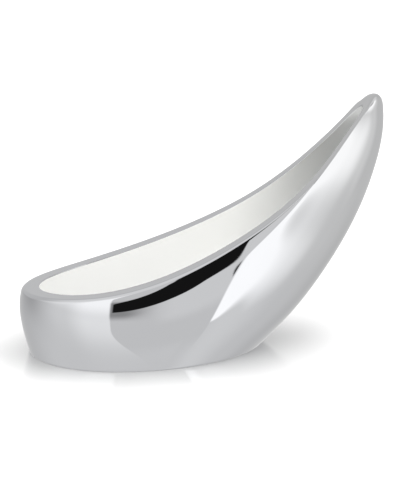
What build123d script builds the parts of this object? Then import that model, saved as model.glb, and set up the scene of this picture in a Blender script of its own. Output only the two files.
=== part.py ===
from build123d import *
import math
import os

import numpy as np

# A one-piece polished metal ring. Its oval passage runs straight down to a flat
# base, and one end of its wall sweeps up into a horn. Millimetres, +Z up, +X
# along the horn. The origin is the centre of the base oval, on the surface that
# the ring stands on. The XZ plane is its plane of symmetry.

# Overall sizes
base_length = 65.3      # base oval, along X
base_width = 45.7       # base oval, along Y
bulge_width = 47.1      # widest girth, a little above the base
heel_reach = 34.8       # rounded end opposite the horn, from the origin
horn_reach = 68.5       # furthest point of the horn, from the origin
crown_height = 71.6     # height at which the horn's outline closes up
heel_height = 18.5      # rim over the heel
tip_height = 71.4       # rim at the horn's end, before the tip is rounded

# Wall, measured level
wall_heel = 4.7
wall_side = 5.5         # at the base, sides and front
wall_horn = 1.4         # what the sides thin to at the crown
wall_tip = 8.6          # at the crown's end, where the hollow of the horn stops short

# Rounding
rim_round = 0.9         # outer edge of the rim
tip_round = 6.0         # the same edge as it goes over the horn's tip
tip_fade = 3.6          # how far from the tip that rounding fades
lip_round = 0.3         # inner edge of the rim
base_round = 0.5        # both edges of the base

# Level outline: shares of the crown height, and the sizes at those heights
bulge_level = 0.12
horn_levels = [0, bulge_level, 0.27, 0.45, 0.65, 0.85, 1]
horn_sweep = [0, 0.265, 0.522, 0.755, 0.924, 1, 0.967]          # share of the reach past the base
girth_shares = [1, 0.921, 0.73, 0.541, 0.292, 0.21]             # share of the bulge width
heel_levels = [0, bulge_level, 0.27, 1]
heel_lean = 0.5         # how far the heel comes in again at its rim
crown_depth = 3.9       # length of the outline at the crown
lean_levels = [0, 0.27, 0.65, 1]
girth_lean = [-2.3, -4.5, -6.1, -0.5]                           # widest place, from mid-length

# Rim line, seen from the side: share of the length, share of the rise
rim_ends = (-heel_reach - 1.1, horn_reach - 1.2)
rim_along = [0, 0.18, 0.38, 0.58, 0.8, 1]
rim_rise = [0, 0.03, 0.121, 0.278, 0.563, 1]

half_points = 24        # points on each half of a ring of the surface
wall_rings = 14
round_rings = 5


def smooth_line(knots, values):
    """Natural cubic spline through the given points, as a function."""
    t = np.array(knots, float)
    v = np.array(values, float)
    h = np.diff(t)
    n = len(t)
    a = np.eye(n)
    r = np.zeros(n)
    for i in range(1, n - 1):
        a[i, i - 1:i + 2] = [h[i - 1], 2 * (h[i - 1] + h[i]), h[i]]
        r[i] = 6 * ((v[i + 1] - v[i]) / h[i] - (v[i] - v[i - 1]) / h[i - 1])
    m = np.linalg.solve(a, r)

    def value(x):
        i = min(max(int(np.searchsorted(t, x)) - 1, 0), n - 2)
        p = t[i + 1] - x
        q = x - t[i]
        bend = (m[i] * p**3 + m[i + 1] * q**3) / (6 * h[i])
        chord = (v[i] / h[i] - m[i] * h[i] / 6) * p + (v[i + 1] / h[i] - m[i + 1] * h[i] / 6) * q
        return bend + chord

    return value


base_end = base_length / 2
horn_line = smooth_line(horn_levels, [base_end + s * (horn_reach - base_end) for s in horn_sweep])
girth_line = smooth_line(horn_levels, [base_width / 2] + [s * bulge_width / 2 for s in girth_shares])
heel_line = smooth_line(
    heel_levels,
    [-base_end, -heel_reach, heel_lean - heel_reach, horn_line(1) - crown_depth],
)
lean_line = smooth_line(lean_levels, girth_lean)
rim_line = smooth_line(
    [rim_ends[0] + s * (rim_ends[1] - rim_ends[0]) for s in rim_along],
    [heel_height + s * (tip_height - heel_height) for s in rim_rise],
)


def outline(angle, height, inside):
    """Point of the outer or the inner surface, at an angle from the horn and a height."""
    level = height / crown_height
    far = horn_line(level)
    near = heel_line(level)
    half_width = girth_line(level)
    if inside:
        side = wall_side + (wall_horn - wall_side) * level**1.5
        far -= side + (wall_tip - wall_horn) * level**6
        near += wall_heel
        half_width -= side
    middle = (far + near) / 2
    x = middle + (far - near) / 2 * math.cos(angle) + lean_line(level) * math.sin(angle)**2
    return Vector(x, half_width * math.sin(angle), height)


def rim_height(angle, inside):
    """Height at which a surface meets the rim line."""
    low = 0.0
    high = crown_height
    for _ in range(40):
        middle = (low + high) / 2
        if middle < rim_line(outline(angle, middle, inside).X):
            low = middle
        else:
            high = middle
    return (low + high) / 2


def rim_point(angle, inside):
    return outline(angle, rim_height(angle, inside), inside)


def spaced_angles(inside):
    """Angles all round, even half by angle and half by distance along the rim."""
    fine = [math.pi * i / 180 for i in range(181)]
    rim = [rim_point(angle, inside) for angle in fine]
    steps = [(b - a).length for a, b in zip(rim, rim[1:])]
    way = np.concatenate([[0], np.cumsum(steps)])
    pace = way / way[-1] + np.array(fine) / math.pi
    half = np.interp(np.linspace(0, 2, half_points + 1), pace, fine)
    return list(half) + [-angle for angle in half[-2:0:-1]]


def tipness(place):
    """1 at the tip of the horn, 0 along the sides and the heel."""
    away = (rim_point(0, False) - place).X / tip_fade
    return 1 / (1 + away**4)


def rounded_edge(start, corner, end, share):
    """Point on the curve that rounds a corner off, from start to end."""
    hold = 0.55
    a = start + (corner - start) * hold
    b = end + (corner - end) * hold
    u = 1 - share
    return start * u**3 + a * (3 * share * u**2) + b * (3 * share**2 * u) + end * share**3


def section(outer_angle, inner_angle):
    """The rim's and the base's edges, where the wall is cut once."""
    outer_rim = rim_point(outer_angle, False)
    inner_rim = rim_point(inner_angle, True)
    land = (inner_rim - outer_rim).normalized()
    outer_round = rim_round + (tip_round - rim_round) * tipness(outer_rim)
    base_out = outline(outer_angle, 0, False)
    base_in = outline(inner_angle, 0, True)
    floor = (base_in - base_out).normalized()
    return {
        "outer_angle": outer_angle,
        "inner_angle": inner_angle,
        "outer_top": outer_rim.Z - outer_round,
        "outer_rim": outer_rim,
        "land_out": outer_rim + land * outer_round,
        "land_in": inner_rim - land * lip_round,
        "inner_rim": inner_rim,
        "inner_top": inner_rim.Z - lip_round,
        "base_out": base_out,
        "floor_out": base_out + floor * base_round,
        "floor_in": base_in - floor * base_round,
        "base_in": base_in,
    }


sections = [section(a, b) for a, b in zip(spaced_angles(False), spaced_angles(True))]


def wall_point(cut, share, side):
    """Point of a wall, from share 0 just over the base to 1 just under the rim."""
    height = base_round + share * (cut[side + "_top"] - base_round)
    return outline(cut[side + "_angle"], height, side == "inner")


def ring(place):
    """Closed curve through one point of every section, evenly paced on every ring."""
    pace = [i / len(sections) for i in range(len(sections) + 1)]
    points = [place(cut) for cut in sections]
    return Wire([Edge.make_spline(points, periodic=True, parameters=pace)])


def wall(side):
    """Outer or inner surface, from the base's rounding to the rim's."""
    shares = [i / (wall_rings - 1) for i in range(wall_rings)]
    return Shell.make_loft([ring(lambda cut: wall_point(cut, s, side)) for s in shares])


def rounding(side, share, corner, end):
    """Rounded edge from the top (share 1) or the foot (share 0) of a wall."""
    steps = [i / (round_rings - 1) for i in range(round_rings)]
    return Shell.make_loft([
        ring(lambda cut: rounded_edge(wall_point(cut, share, side), cut[corner], cut[end], s))
        for s in steps
    ])


def land():
    """Flat top of the rim, between its two rounded edges."""
    edges = [ring(lambda cut: cut["land_out"]), ring(lambda cut: cut["land_in"])]
    return Shell.make_loft(edges, ruled=True)


def make_ring():
    shells = [
        wall("outer"),
        rounding("outer", 1, "outer_rim", "land_out"),
        land(),
        rounding("inner", 1, "inner_rim", "land_in"),
        wall("inner"),
        rounding("inner", 0, "base_in", "floor_in"),
        rounding("outer", 0, "base_out", "floor_out"),
    ]
    floor = Face(ring(lambda cut: cut["floor_out"]), [ring(lambda cut: cut["floor_in"])])
    faces = [face for shell in shells for face in shell.faces()]
    return Solid(Shell(faces + [floor]))


os.makedirs("parts", exist_ok=True)
horn_ring = make_ring()
export_step(horn_ring, "parts/horn_ring.step")
box = horn_ring.bounding_box()
print("horn_ring", "volume", round(horn_ring.volume, 1), "size", box.size, "valid", horn_ring.is_valid)
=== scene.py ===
import math

import bpy
import numpy as np
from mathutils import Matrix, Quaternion, Vector


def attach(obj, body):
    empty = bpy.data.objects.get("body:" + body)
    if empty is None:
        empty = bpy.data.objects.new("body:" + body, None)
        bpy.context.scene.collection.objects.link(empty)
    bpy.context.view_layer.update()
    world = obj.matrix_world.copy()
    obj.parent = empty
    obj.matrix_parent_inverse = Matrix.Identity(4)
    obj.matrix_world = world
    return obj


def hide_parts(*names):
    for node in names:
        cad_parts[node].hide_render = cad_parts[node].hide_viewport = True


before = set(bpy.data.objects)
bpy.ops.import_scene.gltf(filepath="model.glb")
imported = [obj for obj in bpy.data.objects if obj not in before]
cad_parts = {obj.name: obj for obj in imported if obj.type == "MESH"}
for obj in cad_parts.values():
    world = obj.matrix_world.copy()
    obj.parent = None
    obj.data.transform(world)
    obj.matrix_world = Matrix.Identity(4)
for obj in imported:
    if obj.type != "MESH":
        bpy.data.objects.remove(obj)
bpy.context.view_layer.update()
mm = 0.001


def addNode(tree, kind, **settings):
    node = tree.nodes.new(kind)
    for name, value in settings.items():
        setattr(node, name, value)
    return node


def feed(tree, value, socket):
    # a socket or a plain number into a socket
    if isinstance(value, bpy.types.NodeSocket):
        tree.links.new(value, socket)
    else:
        socket.default_value = value


def doMath(tree, operation, a, b=None, c=None):
    node = addNode(tree, "ShaderNodeMath", operation=operation)
    for i, value in enumerate((a, b, c)):
        if value is not None:
            feed(tree, value, node.inputs[i])
    return node.outputs[0]


def fadeBetween(tree, value, start, end, low=0.0, high=1.0):
    # smooth step of a value, low at start and high at end
    node = addNode(tree, "ShaderNodeMapRange", interpolation_type="SMOOTHSTEP", clamp=True)
    feed(tree, value, node.inputs["Value"])
    feed(tree, start, node.inputs["From Min"])
    feed(tree, end, node.inputs["From Max"])
    feed(tree, low, node.inputs["To Min"])
    feed(tree, high, node.inputs["To Max"])
    return node.outputs["Result"]


def blendValue(tree, share, a, b):
    node = addNode(tree, "ShaderNodeMix", data_type="FLOAT")
    feed(tree, share, node.inputs[0])
    feed(tree, a, node.inputs[2])
    feed(tree, b, node.inputs[3])
    return node.outputs[0]


def blendColour(tree, share, a, b):
    node = addNode(tree, "ShaderNodeMix", data_type="RGBA")
    feed(tree, share, node.inputs[0])
    feed(tree, a, node.inputs[6])
    feed(tree, b, node.inputs[7])
    return node.outputs[2]


hornRing = {
    "baseLength": 65.3, "baseWidth": 45.7, "bulgeWidth": 47.1,
    "heelReach": 34.8, "hornReach": 68.5, "crownHeight": 71.6,
    "heelHeight": 18.5, "tipHeight": 71.4,
    "wallHeel": 4.7, "wallSide": 5.5, "wallHorn": 1.4, "wallTip": 8.6,
    "rimRound": 0.9, "tipRound": 6.0, "tipFade": 3.6, "lipRound": 0.3, "baseRound": 0.5,
    "rollOff": 0.3, "rollReach": 7.0,    # how much the sides draw in near the rim, and from how far down
    "rollFade": (30, 50),                # where that fades out, along the horn
    "hornLevels": [0, 0.12, 0.27, 0.45, 0.65, 0.85, 1],
    "hornSweep": [0, 0.265, 0.522, 0.755, 0.924, 1, 0.967],
    "girthShares": [1, 0.921, 0.73, 0.541, 0.292, 0.21],
    "heelLean": 0.5, "crownDepth": 3.9,
    "leanLevels": [0, 0.27, 0.65, 1], "girthLean": [-2.3, -4.5, -6.1, -0.5],
    "rimAlong": [0, 0.18, 0.38, 0.58, 0.8, 1], "rimRise": [0, 0.03, 0.121, 0.278, 0.563, 1],
    "rimPastHeel": 1.1, "rimShortOfHorn": 1.2,
    "halfPoints": 160, "outerRows": 64, "innerRows": 52, "roundRows": 16, "landRows": 8,
    "lipRows": 7, "footRows": 6, "baseRows": 4,
}


def smoothLine(knots, values):
    # natural cubic spline through the points
    t, v = np.array(knots, float), np.array(values, float)
    h, n = np.diff(t), len(t)
    a, r = np.eye(n), np.zeros(n)
    for i in range(1, n - 1):
        a[i, i - 1:i + 2] = [h[i - 1], 2 * (h[i - 1] + h[i]), h[i]]
        r[i] = 6 * ((v[i + 1] - v[i]) / h[i] - (v[i] - v[i - 1]) / h[i - 1])
    m = np.linalg.solve(a, r)

    def value(x):
        x = np.asarray(x, float)
        i = np.clip(np.searchsorted(t, x) - 1, 0, n - 2)
        p, q = t[i + 1] - x, x - t[i]
        bend = (m[i] * p**3 + m[i + 1] * q**3) / (6 * h[i])
        return bend + (v[i] / h[i] - m[i] * h[i] / 6) * p + (v[i + 1] / h[i] - m[i + 1] * h[i] / 6) * q

    return value


s = hornRing    # a short name, as every shape function uses it
baseEnd = s["baseLength"] / 2
hornEnds = [baseEnd + k * (s["hornReach"] - baseEnd) for k in s["hornSweep"]]
hornLine = smoothLine(s["hornLevels"], hornEnds)
girths = [s["baseWidth"] / 2] + [k * s["bulgeWidth"] / 2 for k in s["girthShares"]]
girthLine = smoothLine(s["hornLevels"], girths)
heelLine = smoothLine(
    [0, s["hornLevels"][1], s["hornLevels"][2], 1],
    [-baseEnd, -s["heelReach"], s["heelLean"] - s["heelReach"], float(hornLine(1)) - s["crownDepth"]],
)
leanLine = smoothLine(s["leanLevels"], s["girthLean"])
rimStart, rimEnd = -s["heelReach"] - s["rimPastHeel"], s["hornReach"] - s["rimShortOfHorn"]
rimLine = smoothLine(
    [rimStart + k * (rimEnd - rimStart) for k in s["rimAlong"]],
    [s["heelHeight"] + k * (s["tipHeight"] - s["heelHeight"]) for k in s["rimRise"]],
)


def outline(angle, height, inside):
    # points of the outer or inner surface at angles from the horn and heights
    level = height / s["crownHeight"]
    far, near, half = hornLine(level), heelLine(level), girthLine(level)
    if inside:
        side = s["wallSide"] + (s["wallHorn"] - s["wallSide"]) * np.clip(level, 0, None)**1.5
        far = far - side - (s["wallTip"] - s["wallHorn"]) * level**6
        near = near + s["wallHeel"]
        half = half - side
    x = (far + near) / 2 + (far - near) / 2 * np.cos(angle) + leanLine(level) * np.sin(angle)**2
    return np.stack([x, half * np.sin(angle), height + 0 * x], -1)


def rimPoints(angle, inside):
    # where a surface meets the rim line
    low, high = np.zeros_like(angle), np.full_like(angle, s["crownHeight"])
    for _ in range(40):
        middle = (low + high) / 2
        under = middle < rimLine(outline(angle, middle, inside)[..., 0])
        low, high = np.where(under, middle, low), np.where(under, high, middle)
    return outline(angle, (low + high) / 2, inside)


def spacedAngles(inside):
    # half by angle, half by distance along the rim
    fine = np.linspace(0, math.pi, 721)    # every quarter degree
    steps = np.linalg.norm(np.diff(rimPoints(fine, inside), axis=0), axis=1)
    way = np.concatenate([[0], np.cumsum(steps)])
    half = np.interp(np.linspace(0, 2, s["halfPoints"] + 1), way / way[-1] + fine / math.pi, fine)
    return np.concatenate([half, -half[-2:0:-1]])


def roundedEdge(start, corner, end, rows):
    hold = 0.55    # near the hold that makes a quarter circle
    u = np.linspace(0, 1, rows)[:, None, None]
    a, b, v = start + (corner - start) * hold, end + (corner - end) * hold, 1 - u
    return start * v**3 + a * 3 * u * v**2 + b * 3 * u**2 * v + end * u**3


def straightRows(start, end, rows):
    return np.stack([start + (end - start) * k for k in np.linspace(0, 1, rows)])


def unitRows(v):
    return v / np.linalg.norm(v, axis=-1, keepdims=True)


def ringRows():
    # rings of points right round the section: up the outside, over the rim,
    # down the inside and under the base
    outAngle, inAngle = spacedAngles(False), spacedAngles(True)
    outRim, inRim = rimPoints(outAngle, False), rimPoints(inAngle, True)
    fade = np.clip((s["rollFade"][1] - outRim[:, 0]) / (s["rollFade"][1] - s["rollFade"][0]), 0, 1)
    roll = s["rollOff"] * fade**2 * (3 - 2 * fade) * np.sin(outAngle)

    def rolledOff(points):
        # the outside, drawn in a little near the rim
        near = np.clip(1 - (outRim[:, 2] - points[..., 2]) / s["rollReach"], 0, 1)
        return points - (roll * near**2)[..., None] * np.array([0, 1, 0])

    across = unitRows(inRim - outRim)
    away = (rimPoints(np.zeros(1), False)[0, 0] - outRim[:, 0]) / s["tipFade"]
    outRound = s["rimRound"] + (s["tipRound"] - s["rimRound"]) / (1 + away**4)
    outBase, inBase = outline(outAngle, 0 * outAngle, False), outline(inAngle, 0 * inAngle, True)
    under = unitRows(inBase - outBase)
    foot = s["baseRound"]

    def wallRows(angle, top, inside, rows):
        shares = np.linspace(0, 1, rows)
        return np.stack([outline(angle, foot + k * (top - foot), inside) for k in shares])

    outer = rolledOff(wallRows(outAngle, outRim[:, 2] - outRound, False, s["outerRows"]))
    outRim = rolledOff(outRim)
    inner = wallRows(inAngle, inRim[:, 2] - s["lipRound"], True, s["innerRows"])
    landOut = outRim + across * outRound[:, None]
    landIn = inRim - across * s["lipRound"]
    footOut, footIn = outBase + under * foot, inBase - under * foot
    return [
        ("outside", outer),
        ("outside", roundedEdge(outer[-1], outRim, landOut, s["roundRows"])),
        ("rim", straightRows(landOut, landIn, s["landRows"])),
        ("rim", roundedEdge(inner[-1], inRim, landIn, s["lipRows"])[::-1]),
        ("inside", inner[::-1]),
        ("inside", roundedEdge(inner[0], inBase, footIn, s["footRows"])),
        ("base", straightRows(footIn, footOut, s["baseRows"])),
        ("outside", roundedEdge(outer[0], outBase, footOut, s["footRows"])[::-1]),
    ]


def buildRing(name, finishes):
    # one closed skin; finishes maps each part of the section to a material
    rows, parts = [], []
    for part, block in ringRows():
        rows.extend(block[:-1])
        parts.extend([part] * (len(block) - 1))
    points = np.stack(rows) * mm
    count, around = points.shape[:2]
    slots = list(dict.fromkeys(finishes.values()))
    faces, faceSlots = [], []
    for i in range(count):
        j = (i + 1) % count
        for k in range(around):
            n = (k + 1) % around
            faces.append((i * around + k, i * around + n, j * around + n, j * around + k))
            faceSlots.append(slots.index(finishes[parts[i]]))
    mesh = bpy.data.meshes.new(name)
    mesh.from_pydata(points.reshape(-1, 3).tolist(), [], faces)
    for material in slots:
        mesh.materials.append(material)
    mesh.polygons.foreach_set("material_index", faceSlots)
    mesh.polygons.foreach_set("use_smooth", [True] * len(faces))
    mesh.update()
    mesh.validate()
    piece = bpy.data.objects.new(name, mesh)
    bpy.context.scene.collection.objects.link(piece)
    return piece


def makePolishGroup():
    # hair-fine polishing marks and soft haze, as a mask and a height
    group = bpy.data.node_groups.new("polishingMarks", "ShaderNodeTree")
    face = group.interface
    face.new_socket("Haze size", in_out="INPUT", socket_type="NodeSocketFloat").default_value = 60.0
    face.new_socket("Mark size", in_out="INPUT", socket_type="NodeSocketFloat").default_value = 900.0
    face.new_socket("Haze", in_out="OUTPUT", socket_type="NodeSocketFloat")
    face.new_socket("Marks", in_out="OUTPUT", socket_type="NodeSocketFloat")
    take = addNode(group, "NodeGroupInput")
    give = addNode(group, "NodeGroupOutput")
    place = addNode(group, "ShaderNodeTexCoord").outputs["Object"]
    haze = addNode(group, "ShaderNodeTexNoise")
    haze.inputs["Detail"].default_value = 4.0
    haze.inputs["Roughness"].default_value = 0.55
    feed(group, place, haze.inputs["Vector"])
    feed(group, take.outputs["Haze size"], haze.inputs["Scale"])
    stretch = addNode(group, "ShaderNodeMapping")
    stretch.inputs["Scale"].default_value = (0.08, 1.0, 1.0)    # marks run along the ring
    feed(group, place, stretch.inputs["Vector"])
    marks = addNode(group, "ShaderNodeTexNoise")
    marks.inputs["Detail"].default_value = 3.0
    feed(group, stretch.outputs[0], marks.inputs["Vector"])
    feed(group, take.outputs["Mark size"], marks.inputs["Scale"])
    feed(group, haze.outputs["Fac"], give.inputs["Haze"])
    feed(group, marks.outputs["Fac"], give.inputs["Marks"])
    return group


polishingMarks = makePolishGroup()
hazeSpan = {"colour": (0.35, 0.7), "roughness": (0.3, 0.75)}    # where haze starts and is full


def makeSteel(name, look):
    # polished metal, whose finish changes along the ring between hornFrom and hornTo; its colour changes
    # there too, which on the satin inside is painted shade darkening the horn's trough
    steel = bpy.data.materials.new(name)
    steel.use_nodes = True
    tree = steel.node_tree
    shader = tree.nodes["Principled BSDF"]
    polish = addNode(tree, "ShaderNodeGroup", node_tree=polishingMarks)
    polish.inputs["Haze size"].default_value = look["hazeSize"]
    polish.inputs["Mark size"].default_value = look["markSize"]
    haze, marks = polish.outputs["Haze"], polish.outputs["Marks"]
    place = addNode(tree, "ShaderNodeSeparateXYZ")
    feed(tree, addNode(tree, "ShaderNodeTexCoord").outputs["Object"], place.inputs[0])
    upHorn = fadeBetween(tree, place.outputs[0], look["hornFrom"], look["hornTo"])
    clearer = fadeBetween(tree, haze, *hazeSpan["colour"])
    colour = blendColour(tree, clearer, look["colour"], look["hazeColour"])
    # towards the horn the base colour turns to the horn colour: a slight tint on the mirror outside,
    # painted shade on the satin inside
    feed(tree, blendColour(tree, upHorn, colour, look["hornTintAndPaintedShade"]), shader.inputs["Base Color"])
    rough = fadeBetween(tree, haze, *hazeSpan["roughness"], *look["roughness"])
    rough = doMath(tree, "MULTIPLY_ADD", marks, look["markRoughness"], rough)
    feed(tree, blendValue(tree, upHorn, rough, look["hornRoughness"]), shader.inputs["Roughness"])
    bump = addNode(tree, "ShaderNodeBump")
    bump.inputs["Strength"].default_value = look["markDepth"]
    bump.inputs["Distance"].default_value = 0.02 * mm
    feed(tree, marks, bump.inputs["Height"])
    feed(tree, bump.outputs["Normal"], shader.inputs["Normal"])
    shader.inputs["Metallic"].default_value = look["metallic"]
    return steel


mirrorSteel = makeSteel("mirrorPolishedSteel", {
    "colour": (0.545, 0.55, 0.565, 1), "hazeColour": (0.55, 0.555, 0.57, 1),
    "hornTintAndPaintedShade": (0.552, 0.555, 0.56, 1),
    "roughness": (0.008, 0.02), "markRoughness": 0.006, "markDepth": 0.015, "hornRoughness": 0.02,
    "hazeSize": 70.0, "markSize": 1400.0, "hornFrom": 0.02, "hornTo": 0.06, "metallic": 1.0,
})
satinSteel = makeSteel("satinInsideSteel", {
    "colour": (0.99, 0.99, 0.975, 1), "hazeColour": (1.0, 1.0, 0.985, 1),
    # the much darker horn colour is painted shade of the trough towards the tip; the lower horn
    # roughness is a real change of finish
    "hornTintAndPaintedShade": (0.58, 0.584, 0.576, 1),
    "roughness": (0.5, 0.56), "markRoughness": 0.04, "markDepth": 0.12, "hornRoughness": 0.3,
    "hazeSize": 90.0, "markSize": 1100.0, "hornFrom": 0.024, "hornTo": 0.056, "metallic": 0.63,
})
print("finishes made")

ringBody = buildRing("hornedRing", {
    "outside": mirrorSteel, "rim": mirrorSteel, "inside": satinSteel, "base": mirrorSteel,
})
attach(ringBody, "root")
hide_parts("horn_ring")
print("ring built,", len(ringBody.data.polygons), "faces")


glossFloor = {
    "size": 4.0, "white": 0.66,    # under a bright tent, so it still looks white
    "gloss": 0.6, "glossTint": 1.0, "glossRoughness": 0.12,
    "glossFade": (-0.012, 0.034),    # where the shine starts to fade and ends, from the base oval
}


def makeFloor(look):
    half = look["size"] / 2
    mesh = bpy.data.meshes.new("studioFloor")
    corners = [(-half, -half, 0), (half, -half, 0), (half, half, 0), (-half, half, 0)]
    mesh.from_pydata(corners, [], [(0, 1, 2, 3)])
    floor = bpy.data.objects.new("studioFloor", mesh)
    bpy.context.scene.collection.objects.link(floor)
    paint = bpy.data.materials.new("glossWhiteFloor")
    paint.use_nodes = True
    tree = paint.node_tree
    tree.nodes.clear()
    out = addNode(tree, "ShaderNodeOutputMaterial")
    matt = addNode(tree, "ShaderNodeBsdfDiffuse")
    matt.inputs["Color"].default_value = (look["white"],) * 3 + (1,)
    shine = addNode(tree, "ShaderNodeBsdfGlossy")
    shine.inputs["Color"].default_value = (look["glossTint"],) * 3 + (1,)
    shine.inputs["Roughness"].default_value = look["glossRoughness"]
    # how far a point lies from the base oval, on the line from its centre; share is 1 on the oval
    spot = addNode(tree, "ShaderNodeNewGeometry").outputs["Position"]
    place = addNode(tree, "ShaderNodeSeparateXYZ")
    feed(tree, spot, place.inputs[0])
    along = doMath(tree, "DIVIDE", place.outputs[0], hornRing["baseLength"] / 2 * mm)
    across = doMath(tree, "DIVIDE", place.outputs[1], hornRing["baseWidth"] / 2 * mm)
    square = doMath(tree, "MULTIPLY_ADD", across, across, doMath(tree, "MULTIPLY", along, along))
    share = doMath(tree, "SQRT", square)
    reach = addNode(tree, "ShaderNodeVectorMath", operation="LENGTH")
    feed(tree, spot, reach.inputs[0])
    beyond = doMath(tree, "SUBTRACT", 1.0, doMath(tree, "DIVIDE", 1.0, share))
    away = doMath(tree, "MULTIPLY", reach.outputs["Value"], beyond)
    mix = addNode(tree, "ShaderNodeMixShader")
    feed(tree, fadeBetween(tree, away, *look["glossFade"], look["gloss"], 0.0), mix.inputs[0])
    feed(tree, matt.outputs[0], mix.inputs[1])
    feed(tree, shine.outputs[0], mix.inputs[2])
    feed(tree, mix.outputs[0], out.inputs["Surface"])
    mesh.materials.append(paint)
    floor.visible_glossy = False     # the tent below the horizon stands for it in reflections
    return floor


makeFloor(glossFloor)
print("floor laid")


lightTent = {
    # brightness round the tent by azimuth, 0 straight in front and + to the right
    "floorBright": [(-180, 0.7), (-80, 0.95), (22, 0.95), (38, 1.05), (72, 0.9), (120, 0.75)],
    "wallBright": [(-180, 0.75), (-120, 0.6), (-60, 1.05), (-35, 1.3), (20, 1.3), (32, 1.75), (50, 1.7),
                   (66, 1.05), (80, 0.85), (180, 0.75)],
    # where the floor has turned into the wall, and over how many degrees it does
    "join": [(-180, 5), (24, 5), (32, -8), (40, 1), (48, 4), (60, -6), (75, -18), (105, -24)],
    "joinBlur": [(-180, 40), (20, 40), (32, 2), (40, 9), (48, 22), (60, 13), (75, 6)],
    # glow towards the roof on the left
    "topGlow": 1.25, "topGlowRise": (10.0, 28.0), "topGlowTurn": (20.0, 0.0),
    # front cloth: its ends, how fast it narrows below the horizon, its foot and its glow
    "front": 0.92, "frontLeft": -19.8, "frontRight": 31.0, "frontSoft": (1.2, 0.8),
    "frontNarrowFrom": -1.0, "frontNarrowing": 0.032, "frontFoot": (-34.0, -16.0),
    "frontGlow": 1.12, "frontGlowRise": (0.0, 9.0), "frontGlowTurn": (2.0, 14.0),
    # dark opening: its left end slants, and its sill climbs a little and then dips on the right
    "doorDark": 0.012, "doorLeft": (-18.6, 8.0), "doorSlant": (26.0, 34.0), "doorRight": 30.8,
    "doorSoft": (1.2, 0.4), "doorTop": 60.0, "doorTopSoft": 6.0,
    "doorSill": 19.2, "doorSlope": 0.09, "doorClimb": 1.0, "doorSillSoft": (-0.35, 0.2),
    "dip": 0.17, "dipFrom": 20.5, "dipCurve": 1.7,
    # soft shade under its left end
    "shade": 0.45, "shadeRight": (8.0, -12.0), "shadeLeft": (-20.5, -19.0),
    "shadeFoot": (6.0, 15.0), "shadeTop": (30.0, 27.0),
    "backWall": 0.78, "backTurn": (95.0, 130.0), "backRise": (8.0, 16.0),
    "roof": 1.1, "roofRise": (48.0, 72.0),
    "background": 1.0,    # what the camera sees behind the floor
    "forMatt": 2.6,       # brighter for matt surfaces, which only see it blurred
}


def rampOf(tree, turn01, stops, least, most):
    # a value by azimuth, kept in a ramp as a share between least and most
    ramp = addNode(tree, "ShaderNodeValToRGB")
    ramp.color_ramp.interpolation = "EASE"
    elements = ramp.color_ramp.elements
    elements.remove(elements[1])
    for i, (angle, level) in enumerate(stops):
        stop = elements[0] if i == 0 else elements.new((angle + 180) / 360)
        stop.position = (angle + 180) / 360
        stop.color = ((level - least) / (most - least),) * 3 + (1,)
    feed(tree, turn01, ramp.inputs[0])
    return doMath(tree, "MULTIPLY_ADD", ramp.outputs[0], most - least, least)


def above(tree, value, limit):
    # how far a value lies above a limit, 0 below it
    return doMath(tree, "MAXIMUM", doMath(tree, "SUBTRACT", value, limit), 0.0)


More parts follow.
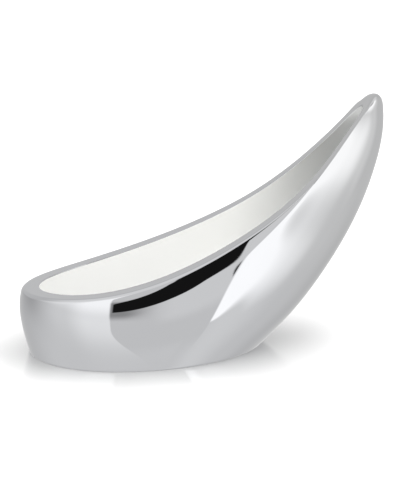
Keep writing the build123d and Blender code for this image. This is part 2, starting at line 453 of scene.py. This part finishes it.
def makeTent(look):
    world = bpy.data.worlds.new("lightTent")
    bpy.context.scene.world = world
    world.use_nodes = True
    tree = world.node_tree
    tree.nodes.clear()
    out = addNode(tree, "ShaderNodeOutputWorld")
    way = addNode(tree, "ShaderNodeSeparateXYZ")
    feed(tree, addNode(tree, "ShaderNodeTexCoord").outputs["Generated"], way.inputs[0])
    turn = doMath(tree, "ARCTAN2", way.outputs[0], doMath(tree, "MULTIPLY", way.outputs[1], -1.0))
    turn = doMath(tree, "MULTIPLY", turn, 180 / math.pi)
    rise = doMath(tree, "MULTIPLY", doMath(tree, "ARCSINE", way.outputs[2]), 180 / math.pi)
    round01 = doMath(tree, "MULTIPLY_ADD", turn, 1 / 360, 0.5)
    low = rampOf(tree, round01, look["floorBright"], 0.0, 2.0)
    high = rampOf(tree, round01, look["wallBright"], 0.0, 2.0)

    # wall above floor: a soft join on the left, a crisp slanting one on the right
    join = rampOf(tree, round01, look["join"], -30.0, 10.0)
    blur = rampOf(tree, round01, look["joinBlur"], 0.0, 40.0)
    onWall = fadeBetween(tree, rise, doMath(tree, "SUBTRACT", join, blur), join)
    bright = blendValue(tree, onWall, low, high)

    # glow towards the roof on the left
    glow = doMath(tree, "MULTIPLY",
                  fadeBetween(tree, rise, *look["topGlowRise"]),
                  fadeBetween(tree, turn, *look["topGlowTurn"]))
    bright = doMath(tree, "MULTIPLY", bright, blendValue(tree, glow, 1.0, look["topGlow"]))

    # front cloth of the tent, narrower towards the floor
    lean = above(tree, look["frontNarrowFrom"], rise)
    narrowing = doMath(tree, "MULTIPLY", lean, lean)
    left = doMath(tree, "MULTIPLY_ADD", narrowing, look["frontNarrowing"], look["frontLeft"])
    right = look["frontRight"]
    inFront = doMath(tree, "MULTIPLY",
                     fadeBetween(tree, turn, left, doMath(tree, "ADD", left, look["frontSoft"][0])),
                     fadeBetween(tree, turn, right, right + look["frontSoft"][1], 1.0, 0.0))
    inFront = doMath(tree, "MULTIPLY", inFront, fadeBetween(tree, rise, *look["frontFoot"]))
    glow = doMath(tree, "MULTIPLY",
                  fadeBetween(tree, rise, *look["frontGlowRise"]),
                  fadeBetween(tree, turn, *look["frontGlowTurn"]))
    cloth = doMath(tree, "MULTIPLY", blendValue(tree, glow, 1.0, look["frontGlow"]), look["front"])
    bright = blendValue(tree, inFront, bright, cloth)

    # soft shade under the dark opening's left end
    shade = doMath(tree, "MULTIPLY",
                   fadeBetween(tree, turn, *look["shadeRight"]),
                   fadeBetween(tree, turn, *look["shadeLeft"]))
    shade = doMath(tree, "MULTIPLY", shade, fadeBetween(tree, rise, *look["shadeFoot"]))
    shade = doMath(tree, "MULTIPLY", shade, fadeBetween(tree, rise, *look["shadeTop"]))
    bright = doMath(tree, "MULTIPLY", bright, blendValue(tree, shade, 1.0, look["shade"]))

    # dark opening over it, whose sill dips to the right
    slope = doMath(tree, "MULTIPLY_ADD", turn, look["doorSlope"], look["doorSill"])
    sill = doMath(tree, "MINIMUM", slope, look["doorSill"] + look["doorClimb"])
    dip = doMath(tree, "POWER", above(tree, turn, look["dipFrom"]), look["dipCurve"])
    sill = doMath(tree, "MULTIPLY_ADD", dip, -look["dip"], sill)
    left = fadeBetween(tree, rise, *look["doorSlant"], *look["doorLeft"])
    right, top = look["doorRight"], look["doorTop"]
    door = doMath(tree, "MULTIPLY",
                  fadeBetween(tree, turn, left, doMath(tree, "ADD", left, look["doorSoft"][0])),
                  fadeBetween(tree, turn, right, right + look["doorSoft"][1], 1.0, 0.0))
    overSill = fadeBetween(tree, doMath(tree, "SUBTRACT", rise, sill), *look["doorSillSoft"])
    underTop = fadeBetween(tree, rise, top, top + look["doorTopSoft"], 1.0, 0.0)
    door = doMath(tree, "MULTIPLY", doMath(tree, "MULTIPLY", door, overSill), underTop)
    bright = blendValue(tree, door, bright, look["doorDark"])

    # back wall, which the rim shows, and the roof
    behind = doMath(tree, "MULTIPLY",
                    fadeBetween(tree, doMath(tree, "ABSOLUTE", turn), *look["backTurn"]),
                    fadeBetween(tree, rise, *look["backRise"]))
    bright = blendValue(tree, behind, bright, look["backWall"])
    bright = blendValue(tree, fadeBetween(tree, rise, *look["roofRise"]), bright, look["roof"])

    path = addNode(tree, "ShaderNodeLightPath")
    tent = addNode(tree, "ShaderNodeBackground")
    feed(tree, bright, tent.inputs["Color"])
    strength = blendValue(tree, path.outputs["Is Diffuse Ray"], 1.0, look["forMatt"])
    feed(tree, strength, tent.inputs["Strength"])
    plain = addNode(tree, "ShaderNodeBackground")
    plain.inputs["Color"].default_value = (1, 1, 1, 1)
    plain.inputs["Strength"].default_value = look["background"]
    mix = addNode(tree, "ShaderNodeMixShader")
    feed(tree, path.outputs["Is Camera Ray"], mix.inputs[0])
    feed(tree, tent.outputs[0], mix.inputs[1])
    feed(tree, plain.outputs[0], mix.inputs[2])
    feed(tree, mix.outputs[0], out.inputs["Surface"])


makeTent(lightTent)
bpy.context.scene.view_settings.view_transform = "Standard"
bpy.context.scene.view_settings.look = "None"
print("tent lit")


viewPoint = {
    "azimuth": -15.47, "elevation": 15.39, "roll": 0.344, "distance": 0.68906,
    "aim": (0.01558, 0.0, 0.0266), "lens": 178.53,
}


def setCamera(look):
    lens = bpy.data.cameras.new("camera")
    lens.lens = look["lens"]
    lens.sensor_width = 36.0
    lens.clip_start = 0.01
    camera = bpy.data.objects.new("camera", lens)
    bpy.context.scene.collection.objects.link(camera)
    turn, rise = math.radians(look["azimuth"]), math.radians(look["elevation"])
    back = Vector((math.sin(turn) * math.cos(rise), -math.cos(turn) * math.cos(rise), math.sin(rise)))
    camera.location = Vector(look["aim"]) + back * look["distance"]
    level = back.to_track_quat("Z", "Y")
    camera.rotation_mode = "QUATERNION"
    camera.rotation_quaternion = level @ Quaternion((0, 0, 1), math.radians(look["roll"]))
    bpy.context.scene.camera = camera


setCamera(viewPoint)
